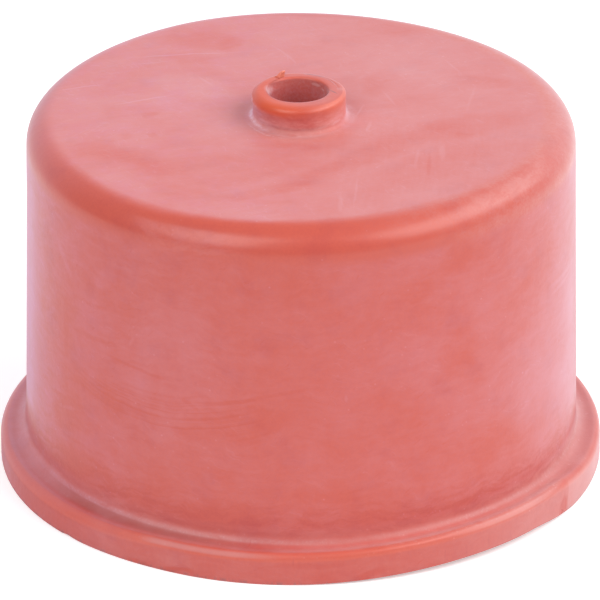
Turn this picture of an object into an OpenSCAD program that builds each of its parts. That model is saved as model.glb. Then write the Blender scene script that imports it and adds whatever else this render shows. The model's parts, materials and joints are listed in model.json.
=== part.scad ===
// Cap-type rubber stopper, moulded in one piece. The cap stretches over the
// neck of a bottle, and the boss in the middle of its top grips the stem of an
// airlock. Lengths are in millimetres. The axis of the cap is Z, and the foot
// of its flange lies on Z = 0.

/* [Socket for the neck] */
// Inside diameter of the cap
neck_d = 60; // [30:0.5:90]
// Depth of the socket, from its mouth to the underside of the top
neck_depth = 40.9; // [15:0.1:70]
// Radius of the corner between the socket's wall and the underside of the top
neck_corner_r = 2.5; // [0.5:0.1:5]
// Rounding of the socket's mouth
mouth_r = 0.8; // [0.2:0.1:1.4]

/* [Shell] */
// Thickness of the side wall, just under the shoulder
wall_t = 3; // [1.6:0.1:8]
// Thickness of the flat top
top_t = 3.5; // [1.6:0.1:8]
// Draft of the outside of the side wall, in degrees
wall_draft = 0.9; // [0:0.1:4]
// Radius of the shoulder
shoulder_r = 3.3; // [0.5:0.1:5]

/* [Flange] */
// How far the flange stands out from the foot of the side wall
flange_out = 3; // [1.6:0.1:10]
// Thickness of the flange
flange_t = 3.5; // [2:0.1:8]
// Rounding of the flange's upper edge
flange_edge_r = 1.05; // [0.2:0.05:1.3]
// Rounding of the flange's lower edge
flange_foot_r = 0.4; // [0.1:0.05:0.6]
// Fillet between the side wall and the flange
flange_fillet_r = 1.6; // [0.3:0.1:1.9]

/* [Boss] */
// Diameter of the bore through the boss and the top
bore_d = 7.4; // [4:0.1:20]
// Rounding of both ends of the bore
bore_edge_r = 0.3; // [0.1:0.05:0.6]
// Thickness of the boss round the bore
boss_t = 1.7; // [1:0.1:5]
// Height of the boss above the flat top
boss_h = 3.4; // [2.6:0.1:15]
// Fillet at the foot of the boss
boss_fillet_r = 1; // [0.2:0.1:1.2]
// Radius of the bead that is rolled round the lip of the boss
bead_r = 1.1; // [0.5:0.05:1.2]
// How far the bead stands out from the side of the boss
bead_out = 0.2; // [0.05:0.05:0.6]

/* [Mould flash left on the lip] */
// Height of the scrap of flash above the lip
flash_h = 0.9; // [0.3:0.1:3]
// Diameter of the scrap at its root
flash_root_d = 0.7; // [0.4:0.1:1]
// Diameter of the scrap at its tip
flash_tip_d = 0.4; // [0.2:0.1:0.4]
// Lean of the scrap towards +X, in degrees
flash_lean = 25; // [0:1:45]
// Where the scrap stands round the lip, in degrees from +X
flash_at = 123; // [0:1:359]

/* [Hidden] */
$fn = 96;

// Rubber seen in even light
rubber_colour = [0.76, 0.37, 0.33];
// What a cutting shape reaches past the face that it opens
overcut = 1;
// How far the flange's fillet bites into the drafted wall, for a clean edge
bite = 0.02;

cap_h = neck_depth + top_t;
lip_z = cap_h + boss_h;
neck_r = neck_d / 2;
bore_r = bore_d / 2;
boss_r = bore_r + boss_t;
shell_r = neck_r + wall_t;
shoulder_z = cap_h - shoulder_r;

// Outside radius of the side wall at height z
function wall_r(z) = shell_r + (shoulder_z - z) * tan(wall_draft);

flange_r = wall_r(0) + flange_out;
// The fillet leaves room for the rounding of the flange's edge
fillet_r = min(flange_fillet_r, flange_out - flange_edge_r);
fillet_z = flange_t + fillet_r;
bead_x = boss_r + bead_out - bead_r;
// The scrap stands just outside the rounded edge of the bore
flash_x = bore_r + bore_edge_r + flash_root_d / 2;

// A square at the origin, with a quarter round scooped out of its corner at
// [r, r]. Taken away, it rounds off a convex corner; added, it fills a concave
// one. It reaches past the corner by the given amount
module corner(r, back) {
    difference() {
        translate([-back, -back]) square(r + back);
        translate([r, r]) circle(r);
    }
}

// Side wall with its draft, the shoulder and the flat top, as a solid section.
// The shoulder's round starts upright, so a faint crease parts it from the wall
module shell_section() {
    polygon([[0, 0], [wall_r(0), 0], [shell_r, shoulder_z], [0, shoulder_z]]);
    square([shell_r - shoulder_r, cap_h]);
    translate([shell_r - shoulder_r, shoulder_z]) circle(shoulder_r);
}

// Flange with its two rounded edges, and the fillet up to the side wall
module flange_section() {
    difference() {
        square([flange_r, flange_t]);
        translate([flange_r, 0]) mirror([1, 0]) corner(flange_foot_r, overcut);
        translate([flange_r, flange_t]) rotate(180) corner(flange_edge_r, overcut);
    }
    translate([wall_r(fillet_z) - bite, flange_t])
        corner(fillet_r, min(wall_t, flange_t) / 2);
}

// Boss with its fillet and the bead round its lip
module boss_section() {
    translate([0, cap_h - top_t / 2]) square([boss_r, top_t / 2 + boss_h - bead_r]);
    translate([0, cap_h]) square([bead_x, boss_h]);
    translate([bead_x, lip_z - bead_r]) circle(bead_r);
    translate([boss_r, cap_h]) corner(boss_fillet_r, min(boss_t, top_t) / 2);
}

// Socket with its rounded inner corner and mouth
module socket_section() {
    difference() {
        translate([0, -overcut]) square([neck_r, neck_depth + overcut]);
        translate([neck_r, neck_depth]) rotate(180) corner(neck_corner_r, overcut);
    }
    translate([neck_r, 0]) corner(mouth_r, overcut);
}

// Bore through the top and the boss, with both ends rounded
module bore_section() {
    translate([0, neck_depth - overcut]) square([bore_r, lip_z - neck_depth + 2 * overcut]);
    translate([bore_r, neck_depth]) corner(bore_edge_r, overcut);
    translate([bore_r, lip_z]) mirror([0, 1]) corner(bore_edge_r, overcut);
}

// Scrap of flash: a leaning cone with a round tip, rooted in the lip
module flash() {
    tip_r = flash_tip_d / 2;
    rotate([0, 0, flash_at]) translate([flash_x, 0, lip_z])
        rotate([0, 0, -flash_at]) rotate([0, flash_lean, 0]) {
            translate([0, 0, -bead_r / 2])
                cylinder(h = bead_r / 2 + flash_h - tip_r, d1 = flash_root_d, d2 = flash_tip_d);
            translate([0, 0, flash_h - tip_r]) sphere(tip_r);
        }
}

module stopper() {
    color(rubber_colour) {
        rotate_extrude()
            difference() {
                union() {
                    shell_section();
                    flange_section();
                    boss_section();
                }
                socket_section();
                bore_section();
            }
        flash();
    }
}

stopper();
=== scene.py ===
import json
import math
from types import SimpleNamespace

import bmesh
import bpy
from mathutils import Euler, Matrix, Vector


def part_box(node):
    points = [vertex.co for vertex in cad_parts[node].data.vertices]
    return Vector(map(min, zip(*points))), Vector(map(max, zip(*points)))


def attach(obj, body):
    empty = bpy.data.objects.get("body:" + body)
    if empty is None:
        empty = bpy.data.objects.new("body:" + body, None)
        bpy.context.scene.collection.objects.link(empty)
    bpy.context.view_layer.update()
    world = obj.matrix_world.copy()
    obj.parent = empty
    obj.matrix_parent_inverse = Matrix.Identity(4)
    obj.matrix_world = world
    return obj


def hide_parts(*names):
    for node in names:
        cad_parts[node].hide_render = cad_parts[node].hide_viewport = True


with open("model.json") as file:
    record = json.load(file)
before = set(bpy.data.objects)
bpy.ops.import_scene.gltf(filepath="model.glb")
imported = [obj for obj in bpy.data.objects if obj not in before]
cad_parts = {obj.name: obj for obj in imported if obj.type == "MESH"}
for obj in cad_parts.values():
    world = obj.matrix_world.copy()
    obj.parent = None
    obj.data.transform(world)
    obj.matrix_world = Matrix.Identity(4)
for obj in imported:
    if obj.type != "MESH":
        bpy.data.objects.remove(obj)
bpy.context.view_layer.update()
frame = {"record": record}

# --- The stopper -----------------------------------------------------------
# One moulding of red-brown natural rubber: a hollow cap with a turned-out
# flange at its foot and a short bored boss on its top. It was cured in a
# closed mould, trimmed by hand and dusted with talc, which handling rubs off.

mm = 0.001
mounts = {mount["name"]: mount for mount in frame["record"]["mounts"]}
bore_r = mounts["airlock_bore"]["dims"]["r_mm"] * mm
socket_r = mounts["neck_socket"]["dims"]["r_mm"] * mm
flange_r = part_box("stopper")[1].x

socket_depth = 40.9 * mm
top_t = 3.5 * mm
wall_t = 3.0 * mm
wall_draft = math.radians(0.9)
flange_t = 3.5 * mm
boss_t = 1.7 * mm
boss_h = 3.4 * mm
bead_out = 0.2 * mm

shoulder_round = 3.3 * mm
flange_fillet = 1.6 * mm
flange_edge = 1.05 * mm
foot_edge = 0.08 * mm
mouth_edge = 0.8 * mm
socket_corner = 2.5 * mm
bore_edge = 0.3 * mm
boss_fillet = 0.6 * mm
bead_round = 1.1 * mm

cap_h = socket_depth + top_t
lip_z = cap_h + boss_h
shell_r = socket_r + wall_t
boss_r = bore_r + boss_t
boss_out = boss_r + bead_out
bead_x = boss_out - bead_round
fillet_z = flange_t + flange_fillet
foot_wall_r = shell_r + (cap_h - shoulder_round - fillet_z) * math.tan(wall_draft)
turns = 240

# How far the boss, its bore and its lip are out of true. The boss's faults are gone at
# boss_reach from the axis, and the mouth is flared down to mouth_depth under the lip.
boss_off = 0.28 * mm
bore_off = 0.38 * mm
boss_reach = 9 * mm
lip_worn = 0.24 * mm
lip_pinched = 0.1 * mm
mouth_flare = 0.42 * mm
mouth_depth = 1.3 * mm
flash_lean = 0.12 * mm
# How far the shell is sprung out of level, and the front of the flange is lifted: its
# foot, its upper edge all along, and that edge again where it is bent. The flange's
# faults are gone at flange_reach above the table.
front_spring = 0.3 * mm
back_spring = 0.12 * mm
foot_rise = 0.8 * mm
front_rise = 0.42 * mm
bent_rise = 0.6 * mm
flange_reach = 8 * mm


def line_to(bm, tip, x, z, steps=1):
    """Draws the section straight on from its tip."""
    stride = (Vector((x, 0, z)) - tip.co) / steps
    for _ in range(steps):
        drawn = bmesh.ops.extrude_vert_indiv(bm, verts=[tip])
        tip = drawn["verts"][0]
        bmesh.ops.translate(bm, verts=[tip], vec=stride)
    return tip


def arc(bm, tip, x, z, degrees, steps):
    """Draws the section on from its tip along an arc round (x, z)."""
    drawn = bmesh.ops.spin(
        bm, geom=[tip], cent=(x, 0, z), axis=(0, -1, 0), dvec=(0, 0, 0),
        angle=math.radians(degrees), steps=steps, use_merge=False, use_duplicate=False,
    )
    return [v for v in drawn["geom_last"] if isinstance(v, bmesh.types.BMVert)][0]


def draw_section(bm):
    """The cut face of the moulding, from the bore outwards and back."""
    tip = bm.verts.new((bore_r, 0, socket_depth + bore_edge))
    tip = line_to(bm, tip, bore_r, lip_z - mouth_depth, 6)
    tip = line_to(bm, tip, bore_r, lip_z - bore_edge, 4)
    tip = arc(bm, tip, bore_r + bore_edge, lip_z - bore_edge, -90, 5)
    tip = line_to(bm, tip, bead_x, lip_z, 3)
    tip = arc(bm, tip, bead_x, lip_z - bead_round, -90, 12)
    tip = line_to(bm, tip, boss_out, cap_h + boss_fillet, 12)
    tip = arc(bm, tip, boss_out + boss_fillet, cap_h + boss_fillet, 90, 8)
    tip = line_to(bm, tip, shell_r - shoulder_round, cap_h, 24)
    tip = arc(bm, tip, shell_r - shoulder_round, cap_h - shoulder_round, -90, 16)
    tip = line_to(bm, tip, foot_wall_r, fillet_z, 32)
    tip = arc(bm, tip, foot_wall_r + flange_fillet, fillet_z, 90, 10)
    tip = line_to(bm, tip, flange_r - flange_edge, flange_t, 2)
    tip = arc(bm, tip, flange_r - flange_edge, flange_t - flange_edge, -90, 10)
    tip = line_to(bm, tip, flange_r, foot_edge, 5)
    tip = arc(bm, tip, flange_r - foot_edge, foot_edge, -90, 4)
    tip = line_to(bm, tip, socket_r + mouth_edge, 0, 5)
    tip = arc(bm, tip, socket_r + mouth_edge, mouth_edge, -90, 6)
    tip = line_to(bm, tip, socket_r, socket_depth - socket_corner, 20)
    tip = arc(bm, tip, socket_r - socket_corner, socket_depth - socket_corner, 90, 10)
    tip = line_to(bm, tip, bore_r + bore_edge, socket_depth, 12)
    arc(bm, tip, bore_r + bore_edge, socket_depth + bore_edge, -90, 5)


def ease(value, start, end):
    """Rises smoothly from 0 at start to 1 at end."""
    t = min(max((value - start) / (end - start), 0.0), 1.0)
    return t * t * (3 - 2 * t)


def hump(bearing, centre, reach):
    """A smooth hump round one bearing, in degrees, that is gone at its reach."""
    off = abs((bearing - centre + 180) % 360 - 180)
    return 1 - ease(off, 0, reach)


def squarer(u, v):
    """How much further out a squarer corner lies, at (u, v) on the round one's arc."""
    return (u ** 3 + v ** 3) ** (-1 / 3) - 1


def push_out(x, y, r, way):
    """Moves a point out from the axis, or in for a minus way."""
    return x * (1 + way / r), y * (1 + way / r)


def roll_bead(x, y, z, r, bearing, roll):
    """Gives the bead its own height at each bearing, and a squarer section at the right."""
    fillet_top = cap_h + boss_fillet
    if z > lip_z - bead_round:
        u, v = (r - bead_x) / bead_round, (z - lip_z + bead_round) / bead_round
        fuller = hump(bearing, -5, 80) * squarer(u, v)
        x, y = push_out(x, y, r, fuller * u * bead_round)
        z += fuller * v * bead_round
        z = lip_z - (lip_z - z) * roll / bead_round
    elif z > fillet_top:
        side_h, true_side_h = lip_z - roll - fillet_top, lip_z - bead_round - fillet_top
        z = fillet_top + (z - fillet_top) * side_h / true_side_h
    return x, y, z


def shape_boss(x, y, z, r, bearing):
    """The core pin stood off centre, so the bead is full on one side and thin on the other."""
    if z < socket_depth - 0.5 * mm or r > boss_reach:
        return x, y, z
    roll = bead_round * (0.66 + 0.34 * hump(bearing, 176, 110))
    bore_share = 1 - ease(r, bore_r + bore_edge, bead_x + 0.3 * mm)
    near = 1 - ease(r, boss_out, boss_reach)
    neck = (0.09 - 0.07 * x / r) * mm
    if r > bead_x:
        x, y, z = roll_bead(x, y, z, r, bearing, roll)
        inwards = neck * ease(lip_z - roll - z, -0.2 * mm, 0.9 * mm) - 0.09 * mm
        inwards += 0.22 * mm * hump(bearing, 62, 70) * ease(z, lip_z - 2 * mm, lip_z)
        x, y = push_out(x, y, r, -inwards * near)
    y *= 1 - 0.045 * bore_share
    x -= bore_off * bore_share * near + boss_off * (1 - bore_share) * near
    if z > lip_z - 0.7 * mm and r < bead_x + 0.2 * mm:
        worn = hump(bearing, 176, 75) * (1 - ease(r, bore_r + 0.1 * mm, bead_x + 0.2 * mm))
        z -= lip_worn * worn
        z -= lip_pinched * (hump(bearing, 18, 42) * ease(r, bore_r, bead_x))
    if r < bead_x:
        flare = mouth_flare * hump(bearing, 172, 70)
        flare *= ease(z, lip_z - mouth_depth, lip_z - bore_edge)
        flare *= 1 - ease(r, bore_r, bead_x)
        x, y = push_out(x, y, r, flare)
    return x, y, z


def spring(x, y, z, r, bearing):
    """The cured rubber springs a little out of level, and its shoulder sags at the back."""
    sprung = math.cos(math.radians(2 * (bearing + 45)))
    amount = front_spring if bearing < 0 else back_spring * (1 - hump(bearing, 20, 50))
    out = ease(r, 20 * mm, shell_r)
    z += amount * sprung * out * (z / cap_h)
    inward = 0.06 * mm * hump(bearing, 180, 55) * ease(z, 4 * mm, 8 * mm)
    inward *= 1 - ease(z, 34 * mm, 40 * mm)
    sag = 0.2 * mm * hump(bearing, 160, 26) + 0.16 * mm * hump(bearing, 138, 26)
    sag += 0.06 * mm * hump(bearing, 85, 40)
    z -= sag * out * ease(z, 30 * mm, 42 * mm)
    x, y = push_out(x, y, r, -inward)
    return x, y, z


def trim(x, y, z, r, bearing):
    """The flange is squarer and bent up at the front, and its trim is uneven and nicked."""
    u, v = (r - flange_r + flange_edge) / flange_edge, (z - flange_t + flange_edge) / flange_edge
    front = ease(bearing, -134, -114) * (1 - ease(bearing, -24, -14))
    if u > 0 and v > 0:
        fuller = 1 + front * squarer(u, v)
        x, y = push_out(x, y, r, (fuller - 1) * u * flange_edge)
        z += (fuller - 1) * v * flange_edge
    skin = ease(z, 0, flange_t)
    foot_lift = foot_rise * ease(bearing, -98, -52) * (1 - ease(bearing, -41, -26))
    foot_lift *= ease(r, socket_r, socket_r + 4 * mm)
    bent = ease(bearing, -98, -54) * (1 - ease(bearing, -33, -22))
    top_lift = front_rise * front * ease(r, 33.2 * mm, 36.2 * mm)
    top_lift += bent_rise * bent * (0.4 + 0.6 * ease(r, 33.4 * mm, 36.2 * mm))
    top_lift *= ease(r, socket_r + 2 * mm, shell_r) * (1 - ease(z, fillet_z, flange_reach))
    z += foot_lift * (1 - skin) + top_lift * skin

    spread = 0.2 * mm * hump(bearing, -146, 34) + 0.1 * mm * hump(bearing, -106, 16)
    spread -= 0.16 * mm * hump(bearing, -8, 42)
    spread *= ease(r, 34 * mm, flange_r)
    on_rim = ease(r, 36 * mm, flange_r)
    nick_left = hump(bearing, -139, 1.5) * on_rim * (1 - ease(z, 0, 0.9 * mm))
    z += 0.1 * mm * nick_left
    spread -= 0.12 * mm * nick_left
    nick_right = 0.09 * mm * hump(bearing, -29.6, 4.2)
    spread -= nick_right * (1 - ease(z, 0.4 * mm, 2.6 * mm)) * on_rim
    x, y = push_out(x, y, r, spread)
    return x, y, z


def pull_flash(bm, bearing, half_width, steps):
    """Draws a scrap of flash up out of the lip, which the trimming left there."""
    root = [
        face for face in bm.faces
        if face.calc_center_median().z > lip_z - 0.02 * mm
        and face.normal.z > 0.95
        and abs(math.degrees(math.atan2(*face.calc_center_median().yx)) - bearing) < half_width
    ]
    for rise, drift, taper in steps:
        drawn = bmesh.ops.extrude_face_region(bm, geom=root)
        verts = [v for v in drawn["geom"] if isinstance(v, bmesh.types.BMVert)]
        bmesh.ops.delete(bm, geom=root, context="FACES")
        root = [f for f in drawn["geom"] if isinstance(f, bmesh.types.BMFace)]
        bmesh.ops.translate(bm, verts=verts, vec=(drift, 0, rise))
        centre = sum((v.co for v in verts), Vector()) / len(verts)
        bmesh.ops.scale(
            bm, verts=verts, vec=(taper, taper, 0.3), space=Matrix.Translation(-centre)
        )


bm = bmesh.new()
draw_section(bm)
bmesh.ops.remove_doubles(bm, verts=bm.verts, dist=0.001 * mm)
bmesh.ops.spin(
    bm, geom=bm.verts[:] + bm.edges[:], cent=(0, 0, 0), axis=(0, 0, 1), dvec=(0, 0, 0),
    angle=math.tau, steps=turns, use_merge=True, use_duplicate=False,
)
bmesh.ops.remove_doubles(bm, verts=bm.verts, dist=0.001 * mm)
bmesh.ops.recalc_face_normals(bm, faces=bm.faces)
pull_flash(
    bm, 123, 6.1,
    [(0.15 * mm, 0.02 * mm, 0.85), (0.2 * mm, 0.04 * mm, 0.84), (0.2 * mm, 0.07 * mm, 0.86),
     (0.18 * mm, 0.13 * mm, 0.84), (0.11 * mm, 0.1 * mm, 0.6)],
)
for vert in bm.verts:
    x, y, z = vert.co
    r, bearing = math.hypot(x, y), math.degrees(math.atan2(y, x))
    if z <= lip_z:
        x, y, z = shape_boss(x, y, z, r, bearing)
    else:
        x -= flash_lean
    x, y, z = spring(x, y, z, r, bearing)
    if z < flange_reach and r > socket_r:
        x, y, z = trim(x, y, z, r, bearing)
    vert.co = x, y, z
for face in bm.faces:
    face.smooth = True
mesh = bpy.data.meshes.new("moulded_stopper")
bm.to_mesh(mesh)
bm.free()
stopper = bpy.data.objects.new("moulded_stopper", mesh)
bpy.context.scene.collection.objects.link(stopper)

# Colours of the rubber and of the talc on it, some of which also paint shade and light
clean_rubber = (0.62, 0.106, 0.066, 1)
# a darker red of the rubber, also the painted shade in the bore and on the lower shoulder
deep_rubber_and_shade = (0.5, 0.07, 0.06, 1)
# dark grime of the lip's crack, also the painted shade in corners and at the boss's foot, and the
# darker patches at the foot's lower edge
grime_and_shade = (0.3, 0.085, 0.08, 1)
# a light orange: the painted light on the boss's right side and on the flash
lit_rubber = (0.95, 0.24, 0.13, 1)
rubbed_rubber = (0.69, 0.095, 0.03, 1)
top_film = (0.85, 0.69, 0.77, 1)
lilac_film = (0.83, 0.66, 0.92, 1)
wall_film = (0.84, 0.67, 0.9, 1)
mauve_film = (0.87, 0.58, 0.94, 1)
rosy_film = (0.86, 0.67, 0.83, 1)
foot_film = (0.86, 0.7, 0.74, 1)
warm_film = (0.9, 0.68, 0.67, 1)

# Roughness of clean rubber, and what a full film of talc adds to it
clean_rough = 0.285
talc_rough = 1.4
# How strong the film on the top is, and the most that any talc hides
top_hides = 0.36
most_talc = 0.7
# Half the depth of a mark, which is more than the surface curves away under it
mark_depth = 6.0
# A half-size so long that a mark doesn't end in that direction
endless = 9999


def node(tree, kind, **settings):
    """A shader node, with its settings."""
    made = tree.nodes.new(kind)
    for name, value in settings.items():
        setattr(made, name, value)
    return made


def feed(tree, socket, value):
    """Links another node's output to a socket, or sets the socket's own value."""
    if isinstance(value, bpy.types.NodeSocket):
        tree.links.new(value, socket)
    else:
        socket.default_value = value


def maths(tree, operation, *values):
    """One step of arithmetic."""
    made = node(tree, "ShaderNodeMath", operation=operation)
    for socket, value in zip(made.inputs, values):
        feed(tree, socket, value)
    return made.outputs[0]


def times(tree, value, *factors):
    """A value times some factors."""
    for factor in factors:
        value = maths(tree, "MULTIPLY", value, factor)
    return value


def plus(tree, value, *others):
    """A value and some others added up."""
    for other in others:
        value = maths(tree, "ADD", value, other)
    return value


def minus(tree, value, other):
    """A value less another."""
    return maths(tree, "SUBTRACT", value, other)


def most(tree, value, *others):
    """The greatest of some values."""
    for other in others:
        value = maths(tree, "MAXIMUM", value, other)
    return value


def lay(tree, film, mask, strength):
    """Adds talc to a film where the mask is, or takes it off for a minus strength."""
    return maths(tree, "MULTIPLY_ADD", mask, strength, film)


def fade(tree, value, start, end, low=0.0, high=1.0):
    """Goes smoothly from low at start to high at end."""
    made = node(tree, "ShaderNodeMapRange", interpolation_type="SMOOTHSTEP")
    for name, setting in (
        ("Value", value), ("From Min", start), ("From Max", end), ("To Min", low), ("To Max", high)
    ):
        feed(tree, made.inputs[name], setting)
    return made.outputs["Result"]


def span(tree, value, start, full, late, gone):
    """0 up to start, 1 from full to late, and 0 again from gone on."""
    return times(tree, fade(tree, value, start, full), fade(tree, value, gone, late))


def cloud(tree, place, size, detail=3.0, rough=0.5):
    """Soft mottling of a size in millimetres."""
    made = node(tree, "ShaderNodeTexNoise", noise_dimensions="3D")
    made.inputs["Scale"].default_value = 1 / size
    made.inputs["Detail"].default_value = detail
    made.inputs["Roughness"].default_value = rough
    tree.links.new(place, made.inputs["Vector"])
    return made.outputs["Fac"]


def specks(tree, place, apart, reach):
    """Round specks, some millimetres apart, that fade out over their reach."""
    made = node(tree, "ShaderNodeTexVoronoi", feature="F1")
    made.inputs["Scale"].default_value = 1 / apart
    tree.links.new(place, made.inputs["Vector"])
    return fade(tree, made.outputs["Distance"], *reach)


def tint(tree, amount, first, second):
    """Mixes two colours."""
    made = node(tree, "ShaderNodeMix", data_type="RGBA", blend_type="MIX", clamp_factor=True)
    feed(tree, made.inputs[0], amount)
    feed(tree, made.inputs[6], first)
    feed(tree, made.inputs[7], second)
    return made.outputs[2]


def laid_out(tree, place, at=(0, 0, 0), turn=(0, 0, 0), size=(1, 1, 1)):
    """The place as a mark sees it: from its middle, by its own directions and half-sizes."""
    laid = node(tree, "ShaderNodeMapping", vector_type="TEXTURE")
    laid.inputs["Location"].default_value = at
    laid.inputs["Rotation"].default_value = turn
    laid.inputs["Scale"].default_value = size
    feed(tree, laid.inputs["Vector"], place)
    return laid.outputs[0]


def drawn_out(tree, place, size, turn=(0, 0, 0), detail=1.0, rough=0.5):
    """Mottling drawn out to a size each way, and turned by some degrees."""
    turn = [math.radians(angle) for angle in turn]
    return cloud(tree, laid_out(tree, place, turn=turn, size=size), 1.0, detail, rough)


def ball(tree, place):
    """1 in the middle of a ball of radius 1, and 0 from its skin outwards."""
    made = node(tree, "ShaderNodeTexGradient", gradient_type="SPHERICAL")
    tree.links.new(place, made.inputs[0])
    return made.outputs["Fac"]


def rub(tree, place, at, turn, size):
    """A soft-edged rub mark: its place, turn and half-sizes, in millimetres."""
    return fade(tree, ball(tree, laid_out(tree, place, at, turn, size)), 0.0, 0.65)


def hoop(tree, place, at, turn, radius, half_width):
    """A thin line drawn round a far-off middle, as a rim leaves where it drags."""
    near = ball(tree, laid_out(tree, place, at, turn, (2 * radius, endless, 2 * radius)))
    off = maths(tree, "ABSOLUTE", minus(tree, near, 0.5))
    return fade(tree, off, half_width / (2 * radius), 0.0)


def on_top(x, y, bearing=0.0):
    """Where a mark on the flat top lies, and how it is turned."""
    return (x, y, cap_h / mm), Euler((math.pi / 2, 0, math.radians(bearing)))


def on_side(r, bearing, z, tilt):
    """Where a mark lies that faces out at a distance from the axis, and how it is turned."""
    at = (r * math.cos(math.radians(bearing)), r * math.sin(math.radians(bearing)), z)
    return at, Euler((0, -math.radians(tilt), math.radians(bearing + 90)))


def on_wall(bearing, z, tilt=0.0):
    """Where a mark on the drafted side wall lies, and how it is turned."""
    r = (shell_r + (cap_h - shoulder_round - z * mm) * math.tan(wall_draft)) / mm
    return on_side(r, bearing, z, tilt)


def on_flange(bearing, z, tilt=0.0):
    """Where a mark on the flange's side lies, and how it is turned."""
    return on_side(flange_r / mm, bearing, z, tilt)


def add_marks(tree, film, place, marks):
    """Adds marks to the film: each has its lie, half-length, half-width and strength."""
    for (at, turn), half_length, half_width, strength in marks:
        mask = rub(tree, place, at, turn, (half_length, mark_depth, half_width))
        film = lay(tree, film, mask, strength)
    return film


def add_hairs(tree, on, film, size, turn, bite, patches, patch_bite, strength):
    """Adds hair-fine scratches, which come in patches."""
    hairs = fade(tree, drawn_out(tree, on.wavy, size, turn), *bite)
    return lay(tree, film, times(tree, hairs, fade(tree, patches, *patch_bite)), strength)


def part_ring(tree, on, middle, radius, half_width, where, size):
    """Part of a ring on the top, as far as a rub mark reaches."""
    ring = hoop(tree, on.shaky, *on_top(*middle), radius, half_width)
    return times(tree, ring, rub(tree, on.place, *on_top(*where), size))


# Broad rubs in the talc. A minus strength is bare rubber, a plus is more talc.
rubs_on_top = [
    (on_top(-12.3, 21.6, -2), 6.0, 3.6, -0.07),
    (on_top(-9.0, 21.0, 80), 3.4, 2.2, -0.06),
    (on_top(-14.0, 16.6, 5), 6.0, 2.4, -0.05),
    (on_top(-22.5, -10.4, -16), 9.0, 3.0, -0.08),
    (on_top(-14.0, -13.5, 10), 8.0, 4.0, -0.05),
    (on_top(-2.0, -8.4, 2), 6.5, 1.0, -0.04),
    (on_top(-4.0, -12.0, -4), 8.0, 2.4, -0.04),
    (on_top(-6.0, -16.0, 30), 8.0, 3.6, -0.05),
    (on_top(21.0, -2.3, 18), 8.5, 3.4, -0.06),
    (on_top(9.0, -11.0, 41), 20.0, 3.2, -0.06),
    (on_top(14.0, -5.2, 36), 7.5, 3.4, -0.03),
    (on_top(8.5, -10.8, 46), 8.0, 3.6, -0.03),
    (on_top(2.2, -17.4, 42), 8.0, 3.2, -0.03),
    (on_top(-4.0, -21.3, 18), 7.0, 2.4, -0.07),
    (on_top(11.0, 25.8, -18), 6.0, 3.0, -0.06),
    (on_top(22.5, 10.0, 0), 4.6, 1.9, -0.07),
    (on_top(9.4, 9.2, 80), 5.5, 2.2, -0.06),
    (on_top(-18.5, 0.3, 0), 1.5, 1.5, -0.06),
    (on_top(-21.0, -6.5, 0), 1.8, 1.6, -0.05),
    (on_top(-17.0, -5.8, 0), 1.0, 1.0, -0.07),
    (on_top(19.0, -5.5, 20), 2.4, 1.2, -0.07),
    (on_top(-13.0, 8.6, -30), 8.0, 4.0, 0.06),
    (on_top(-20.0, 5.0, 10), 7.0, 3.0, 0.06),
    (on_top(12.0, 15.0, 0), 9.0, 5.0, 0.03),
    (on_top(14.5, -16.0, 40), 13.0, 5.5, -0.06),
    (on_top(-21.5, -19.0, -46), 9.0, 3.2, 0.055),
    (on_top(-10.0, -26.0, -22), 9.0, 2.4, 0.035),
]
rubs_on_wall = [
    (on_wall(-105, 18.9, 6), 7.9, 2.87, -0.019),
    (on_wall(-126, 18.0, -4), 15.8, 1.66, -0.01),
    (on_wall(-107, 7.2, 3), 7.3, 1.88, -0.019),
    (on_wall(-105.5, 13.0, 0), 2.7, 0.88, -0.019),
    (on_wall(-146, 13.5, 0), 5.6, 3.87, -0.019),
    (on_wall(-99, 38.4, 0), 2.9, 2.21, -0.019),
    (on_wall(-91, 37.8, 0), 3.1, 3.54, -0.019),
    (on_wall(-82, 10.6, 0), 4.0, 2.43, -0.021),
    (on_wall(-89, 10.2, 0), 2.5, 1.77, -0.018),
    (on_wall(-66.8, 35.4, 70), 3.1, 2.43, -0.023),
    (on_wall(-57, 39.0, 10), 3.4, 2.43, -0.023),
    (on_wall(-57, 24.6, 0), 4.5, 2.87, -0.019),
    (on_wall(-48, 12.6, 20), 6.8, 4.86, -0.023),
    (on_wall(-34, 31.5, 80), 9.0, 6.63, -0.004),
    (on_wall(-44, 38.6, 0), 10.1, 3.98, -0.013),
    (on_wall(-24, 20.0, 80), 16.0, 12.0, 0.035),
    (on_wall(-160, 33.0, 80), 13.5, 8.84, 0.01),
    (on_wall(-117, 25.0, 80), 13.0, 8.0, 0.026),
    (on_wall(-134, 34.2, 30), 2.9, 1.77, 0.016),
    (on_wall(-128, 22.0, 0), 5.0, 1.99, 0.012),
    (on_wall(-78, 37.2, 60), 5.2, 3.98, 0.016),
    (on_wall(-66, 26.2, 20), 6.8, 4.42, 0.014),
    (on_wall(-43, 21.6, 30), 6.8, 4.42, 0.016),
    (on_wall(-28, 16.6, -20), 9.0, 3.31, 0.016),
    (on_wall(-141, 8.6, 4), 6.5, 2.4, -0.02),
    (on_wall(-156, 10.5, 70), 7.0, 3.0, 0.014),
]
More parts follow.
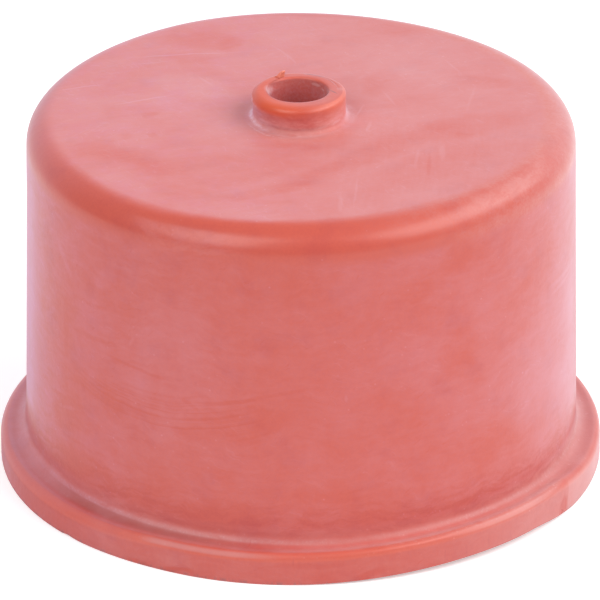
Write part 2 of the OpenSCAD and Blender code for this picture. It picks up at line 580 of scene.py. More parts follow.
# Fine scratches, which let talc in or drag it off.
scratches_on_top = [
    (on_top(-14.0, 17.7, 7), 8.7, 0.22, 0.14),
    (on_top(-26.8, 8.2, 17), 3.9, 0.21, 0.12),
    (on_top(-18.8, 4.7, 24), 5.5, 0.2, 0.12),
    (on_top(-18.4, 15.2, 12), 3.4, 0.17, 0.084),
    (on_top(-11.6, 10.0, -58), 2.5, 0.28, 0.07),
    (on_top(-1.8, 17.6, -58), 3.7, 0.24, 0.08),
    (on_top(18.4, 14.0, -66), 3.4, 0.21, 0.07),
    (on_top(10.6, 5.0, -70), 3.2, 0.24, 0.08),
    (on_top(20.6, 5.2, 82), 4.8, 0.28, 0.055),
    (on_top(13.8, -12.3, 86), 3.9, 0.28, 0.07),
    (on_top(16.8, -10.6, 88), 3.0, 0.49, 0.084),
    (on_top(6.4, -22.0, 88), 5.1, 0.21, 0.08),
    (on_top(4.6, -24.8, 90), 3.2, 0.42, 0.072),
    (on_top(8.2, -3.4, 80), 2.1, 0.32, 0.1),
    (on_top(7.0, 1.2, 75), 2.2, 0.21, 0.1),
    (on_top(15.2, -14.6, 88), 4.6, 0.35, -0.06),
]
scratches_on_wall = [
    (on_wall(-104.5, 22.0, 12), 5.0, 0.41, -0.033),
    (on_wall(-95, 23.4, 11), 5.5, 0.38, -0.015),
    (on_wall(-113.5, 21.0, -28), 2.6, 0.34, -0.018),
    (on_wall(-126, 23.9, -6), 6.4, 0.35, -0.018),
    (on_wall(-138, 25.7, 5), 6.6, 0.41, -0.015),
    (on_wall(-134, 30.2, 4), 7.0, 0.41, -0.012),
    (on_wall(-123, 6.9, 0), 4.6, 0.34, -0.018),
    (on_wall(-138, 10.6, 0), 8.0, 0.41, -0.012),
    (on_wall(-151, 15.4, 4), 3.0, 0.41, -0.018),
    (on_wall(-147.5, 25.0, 90), 6.0, 0.81, -0.015),
    (on_wall(-121, 21.0, 90), 7.0, 1.08, -0.009),
    (on_wall(-146.5, 14.4, 12), 3.2, 0.34, 0.021),
    (on_wall(-148, 33.8, -48), 3.2, 0.68, 0.018),
    (on_wall(-127, 27.2, 60), 1.0, 0.34, 0.024),
    (on_wall(-20, 28.6, -4), 5.0, 0.47, 0.024),
    (on_wall(-21, 27.7, 0), 4.0, 0.41, 0.021),
    (on_wall(-46, 7.6, 12), 1.7, 0.34, 0.018),
    (on_wall(-81, 22.8, 88), 0.6, 0.27, 0.036),
    (on_wall(-92.2, 41.6, 50), 1.0, 0.22, 0.036),
    (on_wall(-91.4, 41.2, 50), 1.1, 0.22, 0.036),
    (on_wall(-90.6, 40.9, 50), 0.9, 0.22, 0.03),
]
# Talc round the boss's mouth and on the flange's side, and the dark stains at its foot.
marks_on_boss = [
    ((-3.75, 0.2, 47.05), 0, (0.95, 1.9, 0.9), 0.3),
    ((-3.6, 1.5, 46.75), 0, (0.7, 1.6, 0.8), 0.14),
    ((1.9, 3.0, 47.2), -30, (0.9, 0.5, 0.3), 0.16),
    ((2.8, 2.3, 46.9), -40, (0.5, 0.5, 0.2), 0.12),
    ((4.7, 0.2, 47.8), -10, (0.7, 0.6, 0.4), 0.05),
]
marks_on_flange = [
    (on_flange(-113.3, 2.0), 3.4, 1.7, 0.025),
    (on_flange(-88, 2.6), 5.0, 0.5, -0.015),
    (on_flange(-70, 2.9), 9.0, 0.7, -0.01),
    (on_flange(-140, 2.8), 9.0, 0.8, -0.008),
    (on_flange(-122, 0.4, -6), 2.4, 0.45, -0.03),
    (on_flange(-114.5, 0.5, 10), 2.8, 0.5, -0.04),
    (on_flange(-112, 1.0, -30), 1.4, 0.5, -0.02),
    (on_flange(-76.8, 1.0, 12), 2.4, 0.8, -0.035),
    (on_flange(-63.5, 1.5), 2.0, 0.6, 0.015),
    # bare rubber at the nick, darker there too as painted shade in it
    (on_flange(-30.2, 1.0, 84), 2.2, 1.3, -0.08),
]
stains_on_flange = [
    (on_flange(-62.2, 1.9, 84), (1.1, 4.0, 0.17)),
    (on_flange(-57.6, 1.9, 95), (1.2, 4.0, 0.2)),
    (on_flange(-52.6, 1.9, 88), (0.9, 4.0, 0.17)),
    (on_flange(-47.0, 1.8, 92), (0.8, 4.0, 0.17)),
    (on_flange(-91.5, 3.0, 90), (0.6, 4.0, 0.15)),
]


def find_way(tree):
    """Where a point of the stopper is, in millimetres, and how cloudy it is there."""
    on = SimpleNamespace()
    in_mm = node(tree, "ShaderNodeVectorMath", operation="SCALE")
    in_mm.inputs["Scale"].default_value = 1 / mm
    tree.links.new(node(tree, "ShaderNodeTexCoord").outputs["Object"], in_mm.inputs[0])
    on.place = laid_out(tree, in_mm.outputs[0])

    ripple = node(tree, "ShaderNodeTexNoise", noise_dimensions="3D")
    ripple.inputs["Scale"].default_value = 0.12
    ripple.inputs["Detail"].default_value = 5
    ripple.inputs["Roughness"].default_value = 0.55
    tree.links.new(on.place, ripple.inputs["Vector"])
    sway = node(tree, "ShaderNodeVectorMath", operation="SUBTRACT")
    sway.inputs[1].default_value = (0.5, 0.5, 0.5)
    tree.links.new(ripple.outputs["Color"], sway.inputs[0])

    def strayed(amount):
        """The place, pushed about by the ripple, so that marks aren't ruled."""
        pushed = node(tree, "ShaderNodeVectorMath", operation="MULTIPLY_ADD")
        pushed.inputs[1].default_value = (amount, amount, amount)
        tree.links.new(sway.outputs[0], pushed.inputs[0])
        tree.links.new(on.place, pushed.inputs[2])
        return laid_out(tree, pushed.outputs[0])

    on.wavy, on.shaky = strayed(6.0), strayed(1.2)

    split = node(tree, "ShaderNodeSeparateXYZ")
    tree.links.new(on.place, split.inputs[0])
    on.x, on.y, on.z = split.outputs
    flat = node(tree, "ShaderNodeCombineXYZ")
    tree.links.new(on.x, flat.inputs[0])
    tree.links.new(on.y, flat.inputs[1])
    reach = node(tree, "ShaderNodeVectorMath", operation="LENGTH")
    tree.links.new(flat.outputs[0], reach.inputs[0])
    on.r = reach.outputs["Value"]

    on.clouds = cloud(tree, on.place, 7.0, 4.0, 0.55)
    on.small_clouds = cloud(tree, on.place, 1.9, 3.0, 0.6)
    on.grain = cloud(tree, on.place, 0.32, 2.0, 0.6)
    on.brushed = drawn_out(tree, on.wavy, (3.4, 3.4, 0.8), detail=4.0, rough=0.6)
    on.streaks = drawn_out(tree, on.place, (1.5, 1.5, 0.5), detail=4.0, rough=0.65)
    return on


def mark_out_cap(tree, on):
    """Which part of the cap a point is on: top, boss, bore, shoulder or wall."""
    x, z, r = on.x, on.z, on.r
    # the top's talc ends unevenly where the rubbed shoulder starts, and later at the left
    left = fade(tree, x, 8.0, -22.0)
    film_edge = lay(tree, 29.05, left, 1.3)
    film_edge = minus(tree, film_edge, fade(tree, x, -21.0, -25.5, 0.0, 0.3))
    film_edge = lay(tree, film_edge, minus(tree, on.small_clouds, 0.5), 0.7)
    softness = lay(tree, 0.75, left, 0.5)
    past = maths(tree, "DIVIDE", minus(tree, r, film_edge), softness)
    on.top_share = times(
        tree, fade(tree, past, 1.0, -0.6), fade(tree, z, 42.6, 43.2),
        fade(tree, z, 45.0, 44.8), fade(tree, r, 4.9, 5.1),
    )
    on.above = fade(tree, z, 39.8, 41.2)
    on.wall_share = minus(tree, 1.0, on.above)
    on.shoulder = times(tree, on.above, fade(tree, r, 28.0, 29.0), minus(tree, 1.0, on.top_share))
    on.over_top = fade(tree, z, 44.8, 45.0)
    on.boss_side = times(tree, fade(tree, r, 4.9, 5.1), on.over_top)
    on.side_zone = times(tree, on.boss_side, fade(tree, z, 47.3, 46.3))
    on.in_bore = times(tree, fade(tree, r, 4.6, 4.4), fade(tree, z, 47.7, 47.4))
    on.scrap = fade(tree, z, 47.85, 48.0)


def mark_out_foot(tree, on):
    """Which part of the foot a point is on: low wall, corner, ledge, edge and rim, and the two
    stretches of its upper edge that carry a painted highlight.
    """
    x, y, z, r = on.x, on.y, on.z, on.r
    on.low_zone = times(tree, fade(tree, z, 10.5, 5.5), fade(tree, z, 4.5, 5.2))
    on.low_zone = times(tree, on.low_zone, fade(tree, on.brushed, 0.35, 0.6, 1.0, 0.4))

    # the flange as it was before the front of it was bent up
    bend = span(tree, x, -5.0, 21.0, 30.5, 34.0)
    bend = lay(tree, fade(tree, x, -25.0, -15.0, 0.0, front_rise / mm), bend, bent_rise / mm)
    on.unbent = minus(tree, z, times(tree, bend, fade(tree, y, -9.0, -15.0)))
    on.edge = times(tree, fade(tree, r, 35.6, 36.0), fade(tree, on.unbent, 2.4, 2.8))
    on.rim = times(tree, fade(tree, r, 36.0, 36.3), fade(tree, on.unbent, 3.1, 2.5))
    on.bare_left = times(tree, on.rim, fade(tree, x, -22.0, -30.0))
    over_ledge = times(tree, fade(tree, z, 6.0, 5.4), fade(tree, on.unbent, 2.7, 3.1))
    on.ledge = times(tree, span(tree, r, 33.6, 34.3, 35.7, 36.2), over_ledge)

    # the painted highlight along the flange's upper edge, in two stretches where the soft boxes
    # shine on it, laid on as talc
    on.crest = span(tree, on.unbent, 2.8, 3.1, 3.36, 3.5)
    on.crest = times(tree, on.crest, fade(tree, r, 35.7, 36.0))
    crest_left = times(tree, fade(tree, x, -19.5, -17.0), fade(tree, x, -1.5, -8.0, 0.0, 0.1))
    crest_right = times(tree, fade(tree, x, 15.5, 24.5, 0.0, 0.16), fade(tree, x, 32.0, 27.0))
    on.crest = times(tree, on.crest, plus(tree, crest_left, crest_right))
    on.crest = times(tree, on.crest, fade(tree, y, -8.0, -14.0))

    corner_z = minus(tree, z, fade(tree, x, 0.0, 20.0, 0.0, 0.25))
    on.corner = span(tree, corner_z, 3.95, 4.15, 4.3, 4.75)
    on.corner = times(tree, on.corner, fade(tree, x, -33.0, -25.0, 0.15, 1.0))


def talc_on_top(tree, on):
    """The film on the flat top: cloudy, wiped, rubbed and scratched, thick round the boss."""
    x, y, r = on.x, on.y, on.r
    front_right = times(tree, fade(tree, x, -2.0, 8.0), fade(tree, y, 4.0, -6.0))
    wiped = drawn_out(tree, on.shaky, (6.0, 0.7, 6.0), (0, 0, 14), 4.0, 0.65)
    wiped = times(tree, minus(tree, wiped, 0.5), fade(tree, front_right, 0.0, 1.0, 1.0, 0.3))
    stroked = drawn_out(tree, on.shaky, (4.0, 0.6, 4.0), (0, 0, 86), 3.0, 0.6)
    stroked = times(tree, minus(tree, stroked, 0.5), front_right)

    film = lay(tree, -0.05, on.clouds, 0.26)
    film = lay(tree, film, on.small_clouds, 0.07)
    film = lay(tree, film, plus(tree, wiped, stroked), 0.11)
    film = plus(tree, film, fade(tree, y, 0.0, -14.0, 0.075, 0.045))
    film = lay(tree, film, minus(tree, on.grain, 0.2), 0.1)
    film = lay(tree, minus(tree, film, 0.035), cloud(tree, on.place, 1.1, 4.0, 0.7), 0.07)
    film = add_hairs(
        tree, on, film, (5.0, 0.3, 5.0), (0, 0, 38), (0.6, 0.72), on.clouds, (0.45, 0.6), 0.05
    )
    film = add_hairs(
        tree, on, film, (2.6, 0.24, 2.6), (0, 0, -52), (0.6, 0.7),
        on.small_clouds, (0.42, 0.56), 0.06,
    )
    film = add_marks(tree, film, on.wavy, rubs_on_top)
    film = add_marks(tree, film, on.shaky, scratches_on_top)
    ring = part_ring(tree, on, (0, 0), 24.6, 1.0, (-8, -23, -15), (13.0, 9.0, 6.0))
    film = lay(tree, film, ring, -0.03)

    # talc stays round the boss and in its fillet, more so at the left
    halo_left = fade(tree, x, 3.0, -4.0, 0.36, 1.0)
    halo = times(tree, fade(tree, r, 10.5, 6.0, 0.0, 0.4), halo_left)
    ring_right = times(tree, fade(tree, x, 3.5, 5.5), fade(tree, y, -4.5, -1.0, 0.0, 0.7))
    ring = times(tree, span(tree, r, 5.3, 5.6, 6.2, 7.0), plus(tree, halo_left, ring_right))
    halo = lay(tree, halo, ring, fade(tree, on.small_clouds, 0.35, 0.6, 0.2, 1.5))
    film = lay(tree, film, halo, 0.12)
    film = maths(tree, "SMOOTH_MAX", film, 0.02, 0.05)
    return times(tree, film, times(tree, on.top_share, top_hides))


def talc_on_wall(tree, on):
    """The film on the side wall: thin, cloudy, brushed round and rubbed."""
    x, z = on.x, on.z
    film = fade(tree, x, 6.0, 22.0, -0.075, -0.064)
    for clouds, strength in (
        (on.clouds, 0.08), (on.small_clouds, 0.05), (on.brushed, 0.07), (on.grain, 0.02)
    ):
        film = lay(tree, film, clouds, strength)
    film = plus(tree, film, fade(tree, x, -23.0, -29.5, 0.0, -0.014))
    film = lay(tree, film, fade(tree, z, 7.0, 10.0), fade(tree, x, -30.8, -33.2, 0.0, 0.045))
    low_right = times(tree, fade(tree, z, 11.0, 6.0), fade(tree, x, 29.0, 32.0))
    film = lay(tree, film, low_right, -0.03)
    film = add_marks(tree, film, on.wavy, rubs_on_wall)
    film = add_marks(tree, film, on.shaky, scratches_on_wall)
    film = add_hairs(
        tree, on, film, (2.6, 2.6, 0.22), (0, 25, 0), (0.64, 0.74), on.clouds, (0.42, 0.58), 0.02
    )
    film = add_hairs(
        tree, on, film, (1.8, 1.8, 0.2), (0, -40, 0), (0.66, 0.75),
        on.small_clouds, (0.45, 0.6), -0.025,
    )

    # a sheaf of curved drag lines, swept round a point far above them
    sweep_r, waves = 80, 42
    drag = node(tree, "ShaderNodeTexNoise", noise_dimensions="1D")
    drag.inputs["Detail"].default_value = 2
    sweep = laid_out(tree, on.shaky, *on_wall(-124, 58.0), (sweep_r, endless, sweep_r))
    tree.links.new(times(tree, ball(tree, sweep), waves), drag.inputs["W"])
    drag_reach = rub(tree, on.wavy, *on_wall(-121, 19.4), (20.0, 12.0, 2.9))
    drag = times(tree, fade(tree, drag.outputs["Fac"], 0.4, 0.75), drag_reach)
    film = lay(tree, film, drag, -0.04)
    film = lay(tree, film, on.low_zone, fade(tree, x, -6.0, -16.0, -0.045, -0.058))
    return maths(tree, "SMOOTH_MAX", film, 0.0, 0.03)


def talc_on_flange(tree, on, film):
    """Goes on with the wall's film over the flange: its ledge, its edge and its side, and adds the
    painted highlight along its upper edge.
    """
    x, y, z, r = on.x, on.y, on.z, on.r
    ledge = lay(tree, fade(tree, x, -3.0, 3.0, 0.0, 0.035), fade(tree, x, 22.0, 31.0), 0.045)
    ledge = lay(tree, ledge, fade(tree, x, -25.0, -33.0), 0.055)
    film = lay(tree, film, on.ledge, ledge)
    film = times(tree, film, lay(tree, 1.0, on.edge, fade(tree, x, 18.0, 30.0, -0.5, -0.25)))
    cove = times(tree, fade(tree, r, 34.4, 33.8), fade(tree, z, 6.4, 5.4))
    cove_left = fade(tree, x, -33.5, -28.0, 0.008, 0.03)
    film = lay(tree, film, cove, fade(tree, x, -4.0, 3.0, cove_left, 0.05))
    lip_left = times(tree, fade(tree, r, 35.0, 35.6), fade(tree, on.unbent, 2.4, 2.8))
    film = lay(tree, film, times(tree, lip_left, fade(tree, x, -12.0, -25.0)), 0.032)
    film = times(tree, film, lay(tree, 1.0, on.bare_left, -0.7))
    film = lay(tree, film, on.rim, fade(tree, x, -14.0, -24.0, 0.0, 0.02))
    film = plus(tree, film, times(tree, on.edge, fade(tree, x, 14.0, 26.0, 0.0, 0.025)))
    film = lay(tree, film, times(tree, on.rim, fade(tree, x, 12.0, 28.0)), 0.052)
    film = add_marks(tree, film, on.shaky, marks_on_flange)
    # the painted highlight along the flange's upper edge goes on as talc
    film = plus(tree, film, on.crest)

    # the side is paler beyond the nick at the right, and its trimmed face is ground
    beyond = times(tree, fade(tree, y, -17.6, -17.2), fade(tree, on.unbent, 3.3, 3.0))
    right_side = times(tree, fade(tree, x, 28.0, 30.0), fade(tree, r, 36.0, 36.3))
    pale = fade(tree, x, 33.0, 35.0, 0.055, 0.025)
    film = lay(tree, film, times(tree, beyond, right_side), pale)
    ground = drawn_out(tree, on.shaky, (0.5, 0.5, 1.6), detail=3.0, rough=0.65)
    film = lay(tree, film, times(tree, minus(tree, ground, 0.5), on.rim), 0.035)
    return times(tree, film, on.wall_share)


def talc_on_shoulder(tree, on):
    """The shoulder is rubbed nearly bare, but for a little talc at the right, and two strips of
    talc that are painted highlights where the soft boxes shine.
    """
    x, y, r = on.x, on.y, on.r
    film = times(
        tree, fade(tree, on.small_clouds, 0.2, 0.8, 0.4, 1.0),
        fade(tree, x, 0.0, 23.0, 0.0, 0.055), fade(tree, on.grain, 0.25, 0.7, 0.5, 1.3),
        fade(tree, r, 32.9, 31.3, fade(tree, x, 14.0, 24.0, 0.5, 1.35), 1.25),
    )
    film = plus(tree, film, fade(tree, y, -20.0, 0.0, 0.0, 0.04))
    # two painted highlights, laid on as talc where the soft boxes shine on the shoulder
    shoulder_highlight_right = span(tree, r, 30.4, 31.3, 32.2, 32.6)
    shoulder_highlight_right = times(tree, shoulder_highlight_right, span(tree, x, 16.0, 22.0, 26.0, 30.0))
    shoulder_highlight_left = span(tree, x, -21.0, -17.0, -11.0, -5.0)
    shoulder_highlight_left = times(tree, shoulder_highlight_left, fade(tree, r, 31.8, 32.2, 0.0, 0.6))
    shoulder_highlights = times(
        tree, plus(tree, shoulder_highlight_right, shoulder_highlight_left), fade(tree, y, -6.0, -14.0),
        fade(tree, on.brushed, 0.35, 0.6, 0.025, 0.08),
    )
    return times(tree, on.shoulder, plus(tree, film, shoulder_highlights))


def talc_in_corner(tree, on):
    """Talc lies in a speckled line in the corner between the wall and the flange."""
    film = times(tree, fade(tree, on.grain, 0.5, 0.72), 0.07)
    film = plus(tree, lay(tree, film, fade(tree, on.x, 5.0, -6.0), 0.07), 0.02)
    film = times(tree, on.corner, film)
    return times(tree, film, fade(tree, on.brushed, 0.3, 0.6, 0.3, 1.0))


def talc_on_boss(tree, on, talc):
    """Adds the boss: its streaked side, its back and lip, its bore and the rings at its foot."""
    x, y, z = on.x, on.y, on.z
    side = times(
        tree, on.side_zone, fade(tree, on.streaks, 0.35, 0.7, 0.07, 0.17),
        fade(tree, z, 46.4, 45.2, 0.5, 1.0), fade(tree, y, -1.2, -3.4, 0.15, 1.0),
    )
    left = times(tree, on.side_zone, fade(tree, x, -2.0, -4.5, 0.0, 0.04))
    right = times(tree, on.over_top, fade(tree, x, 0.0, 4.5, 0.0, 0.03))
    back = times(tree, fade(tree, z, 46.5, 47.0), fade(tree, y, 1.5, 4.5, 0.0, 0.035))
    lip_front = times(tree, fade(tree, z, 47.5, 47.7), fade(tree, y, -2.0, -4.0, 0.0, 0.02))
    talc = plus(tree, talc, plus(tree, side, left, most(tree, right, back), lip_front))
    talc = plus(tree, talc, times(tree, on.in_bore, fade(tree, on.grain, 0.3, 0.75, 0.03, 0.11)))

    far_ring = part_ring(tree, on, (0, 0), 6.9, 0.22, (-4.4, -4.6, -40), (4.0, 9.0, 2.4))
    talc = lay(tree, talc, far_ring, fade(tree, on.grain, 0.4, 0.6, 0.0, 0.1))
    near_ring = part_ring(tree, on, (0, 0), 6.1, 0.3, (-5.6, -1.4, -62), (4.4, 9.0, 2.6))
    talc = lay(tree, talc, near_ring, fade(tree, on.grain, 0.35, 0.6, 0.03, 0.2))
    front_ring = part_ring(tree, on, (-0.5, 0.3), 6.2, 0.8, (1.6, -6.2, 12), (7.5, 9.0, 5.0))
    talc = lay(tree, talc, front_ring, fade(tree, on.brushed, 0.4, 0.6, 0.0, 0.05))
    for at, turn, size, strength in marks_on_boss:
        mask = rub(tree, on.shaky, at, (0, 0, math.radians(turn)), size)
        talc = lay(tree, talc, mask, strength)
    return lay(tree, talc, on.scrap, 0.03)


def loose_talc(tree, on, talc):
    """Adds loose flecks everywhere, and finer dots near the corner at the foot."""
    flecks = specks(tree, on.place, 1.5, (0.11, 0.05))
    flecks = times(tree, flecks, fade(tree, on.clouds, 0.4, 0.65))
    talc = lay(tree, talc, flecks, 0.06)
    dots = specks(tree, on.place, 0.8, (0.2, 0.1))
    dots = times(tree, dots, fade(tree, on.small_clouds, 0.45, 0.6))
    by_corner = times(
        tree, span(tree, on.z, 3.2, 3.6, 5.0, 9.0), fade(tree, on.x, -12.0, 14.0, 0.4, 1.0)
    )
    talc = lay(tree, talc, times(tree, dots, by_corner), 0.07)
    return maths(tree, "MINIMUM", talc, most_talc)


def hidden_share(tree, on, talc):
    """How much of the rubber the talc hides: seen at a slant, the film hides more."""
    slant = node(tree, "ShaderNodeLayerWeight")
    slant.inputs["Blend"].default_value = 0.5
    square_on = minus(tree, 1.0, slant.outputs["Facing"])
    square_on = most(tree, square_on, lay(tree, 0.17, on.ledge, 0.2))
    seen = maths(tree, "POWER", minus(tree, 1.0, talc), maths(tree, "DIVIDE", 1.0, square_on))
    return minus(tree, 1.0, seen)


def rubber_colour(tree, on):
    """The rubber's own colour, darker red, rubbed or stained in places and darker in patches at
    the foot's lower edge, with painted shade in the bore, on the lower shoulder, in corners and at
    the boss's foot, and painted light on the boss's right side and on the flash.
    """
    x, y, z, r = on.x, on.y, on.z, on.r
    deep_and_shade = times(tree, fade(tree, on.streaks, 0.7, 0.3, 0.5, 1.0), on.side_zone)
    deep_and_shade = lay(tree, times(tree, deep_and_shade, 0.6), on.low_zone, 0.35)
    # painted shade inside the bore
    deep_and_shade = lay(tree, deep_and_shade, on.in_bore, 0.6)
    # painted shade on the lower shoulder, which tones down the soft boxes' light there
    deep_and_shade = lay(tree, deep_and_shade, times(tree, on.shoulder, fade(tree, r, 29.5, 31.5)), 0.22)
    ruddy = times(tree, on.wall_share, minus(tree, 1.0, on.edge))
    deep_and_shade = lay(tree, deep_and_shade, ruddy, fade(tree, z, 6.0, 4.5, 0.3, 0.5))
    deep_and_shade = lay(tree, deep_and_shade, fade(tree, cloud(tree, on.place, 4.0, 3.0, 0.5), 0.5, 0.75), 0.25)
    deep_and_shade = plus(tree, deep_and_shade, fade(tree, on.grain, 0.4, 0.65, 0.0, 0.16))
    colour = tint(tree, deep_and_shade, clean_rubber, deep_rubber_and_shade)

    stains = [rub(tree, on.shaky, at, turn, size) for (at, turn), size in stains_on_flange]
    colour = tint(tree, times(tree, most(tree, *stains), 0.55), colour, deep_rubber_and_shade)
    bead = times(tree, fade(tree, z, 46.2, 46.8), fade(tree, r, 4.1, 4.6))
    bead = times(tree, bead, fade(tree, x, 2.0, -3.5, 0.0, 0.8))
    colour = tint(tree, bead, colour, rubbed_rubber)
    # painted highlight: the boss's right side is lighter, where the right soft box shines on it
    lit_right_side = times(tree, on.boss_side, fade(tree, x, 0.5, 4.5, 0.0, 0.35))
    colour = tint(tree, lit_right_side, colour, lit_rubber)
    crack_turn = Euler((0, 0, math.radians(-49)))
    crack = rub(tree, on.shaky, (3.85, -0.7, 47.75), crack_turn, (0.9, 0.17, 1.0))
    colour = tint(tree, times(tree, crack, 0.8), colour, grime_and_shade)
    # painted light: the flash is lighter, as if light shone through its thin rubber
    colour = tint(tree, times(tree, on.scrap, 0.7), colour, lit_rubber)

    # painted shade in the fillet at the front of the boss's foot
    shaded_front = times(tree, fade(tree, y, -2.0, -5.0), fade(tree, z, 45.4, 45.0))
    boss_foot_shade = times(tree, span(tree, r, 5.2, 5.5, 6.0, 7.6), shaded_front)
    boss_foot_shade = times(tree, boss_foot_shade, fade(tree, x, 1.0, 5.0, 0.3, 0.1))
    colour = tint(tree, boss_foot_shade, colour, grime_and_shade)
    # painted shade in the corner between the wall and the flange's ledge, strongest at the left
    ledge_corner_shade = times(
        tree, fade(tree, z, 4.5, 3.9), fade(tree, r, 35.4, 34.6), fade(tree, r, 33.6, 34.1),
        fade(tree, x, -2.0, -16.0, 0.0, 0.48), fade(tree, x, -33.0, -25.0, 0.1, 1.0),
    )
    colour = tint(tree, ledge_corner_shade, colour, grime_and_shade)
    # painted shade: dims the painted highlight on the flange's left upper edge, and darkens the
    # corner line a little
    crest_and_corner_shade = times(tree, on.crest, fade(tree, x, 4.0, -4.0, 0.0, 1.8))
    colour = tint(tree, lay(tree, crest_and_corner_shade, on.corner, 0.1), colour, grime_and_shade)
    # darker in patches along the lowest edge of the foot, next to the table
    low_dark_patches = drawn_out(tree, on.place, (0.5, 0.5, 1.5), detail=3.0, rough=0.7)
    low_dark_patches = times(tree, fade(tree, low_dark_patches, 0.48, 0.62), fade(tree, z, 0.6, 0.1, 0.0, 0.7))
    return tint(tree, low_dark_patches, colour, grime_and_shade)


def film_colour(tree, on):
    """The colour of the talc, which is lilac where it is thick and warmer where it is rubbed."""
    x, y, z, r = on.x, on.y, on.z, on.r
    mottles = cloud(tree, on.place, 2.4, 4.0, 0.65)
    lilac = times(tree, fade(tree, mottles, 0.4, 0.66, 0.1, 0.75), fade(tree, x, 8.0, -10.0))
    cap = tint(tree, lilac, top_film, lilac_film)
    cap = tint(tree, fade(tree, z, 46.0, 47.0, 0.0, 0.7), cap, warm_film)
    before_boss = times(tree, fade(tree, r, 9.0, 7.0), fade(tree, y, -3.0, -5.5, 0.0, 0.6))
    cap = tint(tree, before_boss, cap, warm_film)
    cap = tint(tree, times(tree, on.shoulder, fade(tree, x, 2.0, 16.0)), cap, warm_film)
    wall = tint(tree, fade(tree, x, -16.0, -28.0), wall_film, mauve_film)
    wall = tint(tree, fade(tree, x, 14.0, 28.0), wall, rosy_film)
    foot = tint(tree, fade(tree, x, -16.0, -28.0, 0.0, 0.65), foot_film, lilac_film)
    foot = tint(tree, fade(tree, x, -4.0, 10.0), foot, warm_film)
    return tint(tree, on.above, tint(tree, fade(tree, z, 6.5, 5.0), wall, foot), cap)


def rubber():
    """Natural rubber under a thin film of talc, which is thick where nothing rubs, with some light
    and shade painted into its colour.
    """
    made = bpy.data.materials.new("talced_rubber")
    made.use_nodes = True
    tree = made.node_tree
    shader = tree.nodes["Principled BSDF"]

    on = find_way(tree)
    mark_out_cap(tree, on)
    mark_out_foot(tree, on)
    wall = talc_on_flange(tree, on, talc_on_wall(tree, on))
    talc = plus(
        tree, talc_on_top(tree, on), wall, talc_in_corner(tree, on), talc_on_shoulder(tree, on)
    )
    talc = loose_talc(tree, on, talc_on_boss(tree, on, talc))

    hidden = hidden_share(tree, on, talc)
    colour = tint(tree, hidden, rubber_colour(tree, on), film_colour(tree, on))
    tree.links.new(colour, shader.inputs["Base Color"])

    rough = lay(tree, clean_rough, talc, talc_rough)
    rough = lay(tree, rough, on.small_clouds, 0.06)
    rough = plus(tree, rough, fade(tree, on.r, 10.0, 7.0, 0.0, 0.06))
    rough = plus(tree, lay(tree, rough, on.bare_left, 0.25), on.crest)
    tree.links.new(rough, shader.inputs["Roughness"])
    shader.inputs["IOR"].default_value = 1.5
    shader.inputs["Sheen Weight"].default_value = 0.12
    shader.inputs["Sheen Roughness"].default_value = 0.35
    shader.inputs["Sheen Tint"].default_value = (0.8, 0.76, 1.0, 1)

    bump = node(tree, "ShaderNodeBump")
    bump.inputs["Strength"].default_value = 0.5
    bump.inputs["Distance"].default_value = 0.05 * mm
    height = lay(tree, on.small_clouds, cloud(tree, on.place, 0.7, 2.0, 0.6), 0.6)
    height = lay(tree, height, on.grain, 0.35)
    tree.links.new(height, bump.inputs["Height"])
    tree.links.new(bump.outputs[0], shader.inputs["Normal"])
    return made


stopper.data.materials.append(rubber())
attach(stopper, "root")
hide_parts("stopper")

# --- The camera ------------------------------------------------------------
# It stands far off in front of the stopper and looks a little down on it,
# through a lens so long that the near and far edges keep nearly one scale.

camera_elevation = math.radians(25.94)
camera_distance = 990 * mm
camera_lens = 489.8
sensor_width = 36
aim = Vector((-0.13 * mm, 0, 19.75 * mm))
camera_data = bpy.data.cameras.new("camera")
camera_data.lens = camera_lens
camera_data.sensor_width = sensor_width
camera = bpy.data.objects.new("camera", camera_data)
camera.location = aim + camera_distance * Vector(
    (0, -math.cos(camera_elevation), math.sin(camera_elevation))
)
camera.rotation_euler = (math.pi / 2 - camera_elevation, 0, 0)
bpy.context.scene.collection.objects.link(camera)
bpy.context.scene.camera = camera

# --- The table -------------------------------------------------------------
# A sheet of matt white card that lies flat under the stopper. It keeps the
# shadow, and it is lit so well that the camera sees it as white.

card_half = 300 * mm
card_back = 70 * mm
card_drop = 0.02 * mm
# How strongly the open card shines, beyond the stopper's wall
card_glow = 0.4


def white_card():
    """Matt white card, which the camera and the gloss both see as white."""
    made = bpy.data.materials.new("white_card")
    made.use_nodes = True
    tree = made.node_tree
    tree.nodes.clear()
    card = node(tree, "ShaderNodeBsdfDiffuse")
    card.inputs["Color"].default_value = (0.85, 0.85, 0.85, 1)
    glow = node(tree, "ShaderNodeEmission")
    glow.inputs["Color"].default_value = (1, 1, 1, 1)
    path = node(tree, "ShaderNodeLightPath")
    seen = most(tree, path.outputs["Is Camera Ray"], path.outputs["Is Glossy Ray"])
    out_from = node(tree, "ShaderNodeVectorMath", operation="LENGTH")
    tree.links.new(node(tree, "ShaderNodeTexCoord").outputs["Object"], out_from.inputs[0])
    open_card = fade(tree, out_from.outputs["Value"], socket_r, shell_r, 0.0, card_glow)
    tree.links.new(times(tree, seen, open_card), glow.inputs["Strength"])
    both = node(tree, "ShaderNodeAddShader")
    out = node(tree, "ShaderNodeOutputMaterial")
    tree.links.new(card.outputs[0], both.inputs[0])
    tree.links.new(glow.outputs[0], both.inputs[1])
    tree.links.new(both.outputs[0], out.inputs["Surface"])
    return made


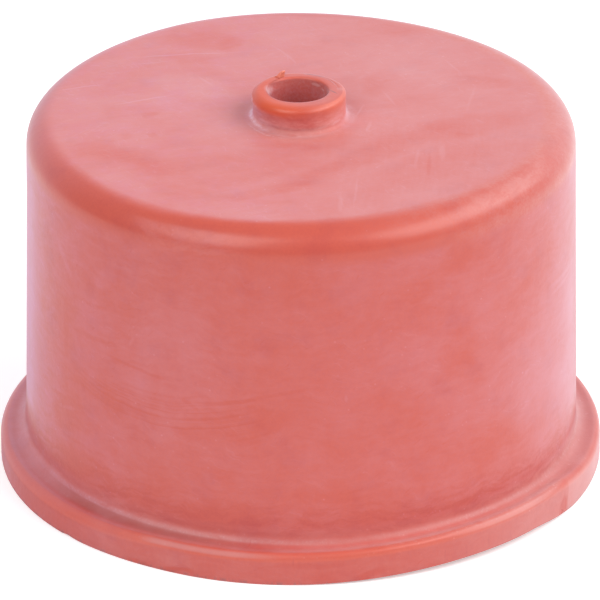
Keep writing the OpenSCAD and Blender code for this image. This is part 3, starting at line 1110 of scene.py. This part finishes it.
bm = bmesh.new()
bmesh.ops.create_grid(bm, x_segments=1, y_segments=1, size=card_half)
bmesh.ops.translate(bm, verts=bm.verts, vec=(0, card_back, -card_drop))
mesh = bpy.data.meshes.new("table")
bm.to_mesh(mesh)
bm.free()
table = bpy.data.objects.new("table", mesh)
bpy.context.scene.collection.objects.link(table)
table.data.materials.append(white_card())

# --- The lights ------------------------------------------------------------
# Two large soft boxes, one at the front left and one at the right, in a tent
# of pale cloth that is bright behind, dim in front and grey overhead.

lamp_distance = 800 * mm
lamp_aim = 30 * mm


def soft_box(name, bearing, elevation, size, power):
    """A soft box that faces the stopper from one bearing, in degrees."""
    lamp = bpy.data.lights.new(name, "AREA")
    lamp.shape = "RECTANGLE"
    lamp.size, lamp.size_y = size
    lamp.energy = power
    made = bpy.data.objects.new(name, lamp)
    level = lamp_distance * math.cos(math.radians(elevation))
    made.location = (
        level * math.cos(math.radians(bearing)),
        level * math.sin(math.radians(bearing)),
        lamp_aim + lamp_distance * math.sin(math.radians(elevation)),
    )
    towards = Vector((0, 0, lamp_aim)) - made.location
    made.rotation_euler = towards.to_track_quat("-Z", "Y").to_euler()
    bpy.context.scene.collection.objects.link(made)


soft_box("soft_box_left", -130, 37, (0.5, 0.62), 3.2)
soft_box("soft_box_right", -17, 39, (0.95, 0.52), 5.75)

back_left = (0.97, 0.95, 1.12, 1)
back_right = (0.88, 0.92, 1.08, 1)
front_cloth = (0.3, 0.3, 0.33, 1)
overhead_cloth = (0.43, 0.43, 0.43, 1)

world = bpy.data.worlds.new("pale_tent")
bpy.context.scene.world = world
world.use_nodes = True
tree = world.node_tree
tree.nodes.clear()
path = node(tree, "ShaderNodeLightPath")
seen = node(tree, "ShaderNodeBackground")
seen.inputs["Color"].default_value = (1, 1, 1, 1)
tent = node(tree, "ShaderNodeBackground")
way = node(tree, "ShaderNodeTexCoord")
split = node(tree, "ShaderNodeSeparateXYZ")
tree.links.new(way.outputs["Generated"], split.inputs[0])
behind = fade(tree, split.outputs["Y"], 0.1, 0.6)
overhead = fade(tree, split.outputs["Z"], 0.55, 0.85)
back_cloth = tint(tree, fade(tree, split.outputs["X"], -0.4, 0.4), back_left, back_right)
cloth = tint(tree, behind, front_cloth, back_cloth)
tree.links.new(tint(tree, overhead, cloth, overhead_cloth), tent.inputs["Color"])
mix = node(tree, "ShaderNodeMixShader")
out = node(tree, "ShaderNodeOutputWorld")
tree.links.new(path.outputs["Is Camera Ray"], mix.inputs["Fac"])
tree.links.new(tent.outputs[0], mix.inputs[1])
tree.links.new(seen.outputs[0], mix.inputs[2])
tree.links.new(mix.outputs[0], out.inputs["Surface"])

bpy.context.scene.view_settings.view_transform = "Standard"
